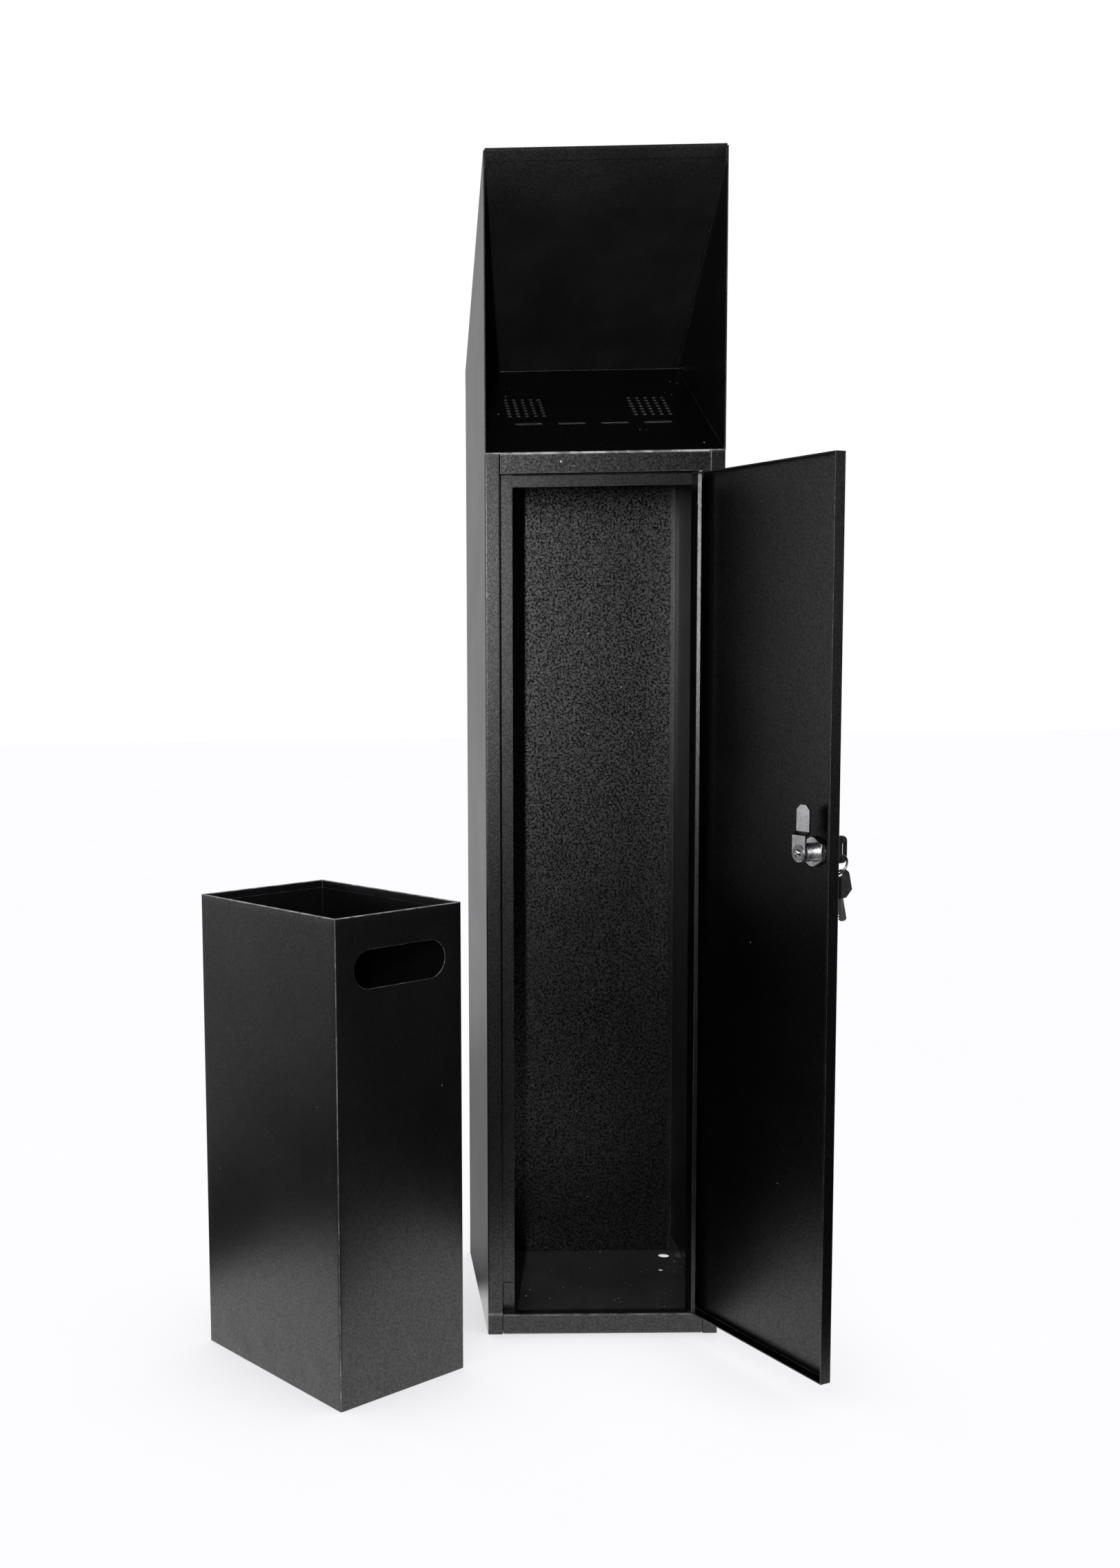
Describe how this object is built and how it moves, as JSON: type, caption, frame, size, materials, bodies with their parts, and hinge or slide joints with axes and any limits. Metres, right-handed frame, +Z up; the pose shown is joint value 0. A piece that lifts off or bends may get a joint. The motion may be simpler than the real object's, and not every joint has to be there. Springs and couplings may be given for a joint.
{
  "type": "ashtray bin",
  "caption": "Tall sheet metal ashtray bin: hooded perforated ash plate over a locker-like cabinet with a key-locked door and a lift-out liner.",
  "frame": {"origin": "centre of the cabinet's footprint, on the floor", "axes": "+Z up, +Y from the cabinet's door side to its back, +X to the right seen from the front (the door's hinge side)"},
  "size_m": [0.6482, 0.4404, 1.258],
  "materials": {
    "black_powder_coat": "fine textured semi-gloss powder coat",
    "black_painted_liner": "smooth semi-gloss powder coat",
    "lock_chrome": "bright chrome plate",
    "zinc_steel": "bright zinc plate",
    "key_steel": "nickel plated",
    "key_plastic": "moulded black plastic",
    "black_nylon": "moulded black nylon"
  },
  "bodies": {
    "cabinet": {"left_side_panel": "black_powder_coat", "right_side_panel": "black_powder_coat", "back_panel": "black_powder_coat", "base_tray": "black_powder_coat", "bottom_rail": "black_powder_coat", "frame_tabs": "black_powder_coat", "ash_plate": "black_powder_coat", "header_stop": "black_powder_coat", "hood_roof": "black_powder_coat", "hinge_pins": "zinc_steel"},
    "door": {"door_pan": "black_powder_coat", "hinge_bushes": "black_nylon", "lock_housing": "lock_chrome", "lock_washer": "zinc_steel", "lock_nut": "lock_chrome"},
    "lock_rotor": {"lock_plug": "lock_chrome", "lock_cam": "zinc_steel", "star_washer": "zinc_steel", "cam_screw": "zinc_steel", "key_blade": "key_steel", "key_bow": "key_plastic"},
    "spare_keys": {"split_ring": "key_steel", "spare_key_blade": "key_steel", "spare_key_bow": "key_plastic"},
    "liner": {"liner_shell": "black_painted_liner", "liner_base": "black_painted_liner"}
  },
  "joints": [
    {"name": "door_swing", "type": "hinge", "parent": "cabinet", "child": "door", "pos_m": [0.1005, -0.1225, 0], "axis": [0, 0, 1], "range_deg": [-116, 5]},
    {"name": "lock_turn", "type": "hinge", "parent": "door", "child": "lock_rotor", "pos_m": [0.18214, -0.27961, 0.5485], "axis": [0.8988, 0.4384, 0], "range_deg": [0, 90]},
    {"name": "spare_key_swing", "type": "hinge", "parent": "lock_rotor", "child": "spare_keys", "pos_m": [0.21081, -0.26563, 0.5427], "axis": [0.4384, -0.8988, 0], "range_deg": [-20, 45]},
    {"name": "liner_lift", "type": "slide", "parent": "cabinet", "child": "liner", "axis": [0, 0, 1], "range_m": [0, 0.3]}
  ]
}
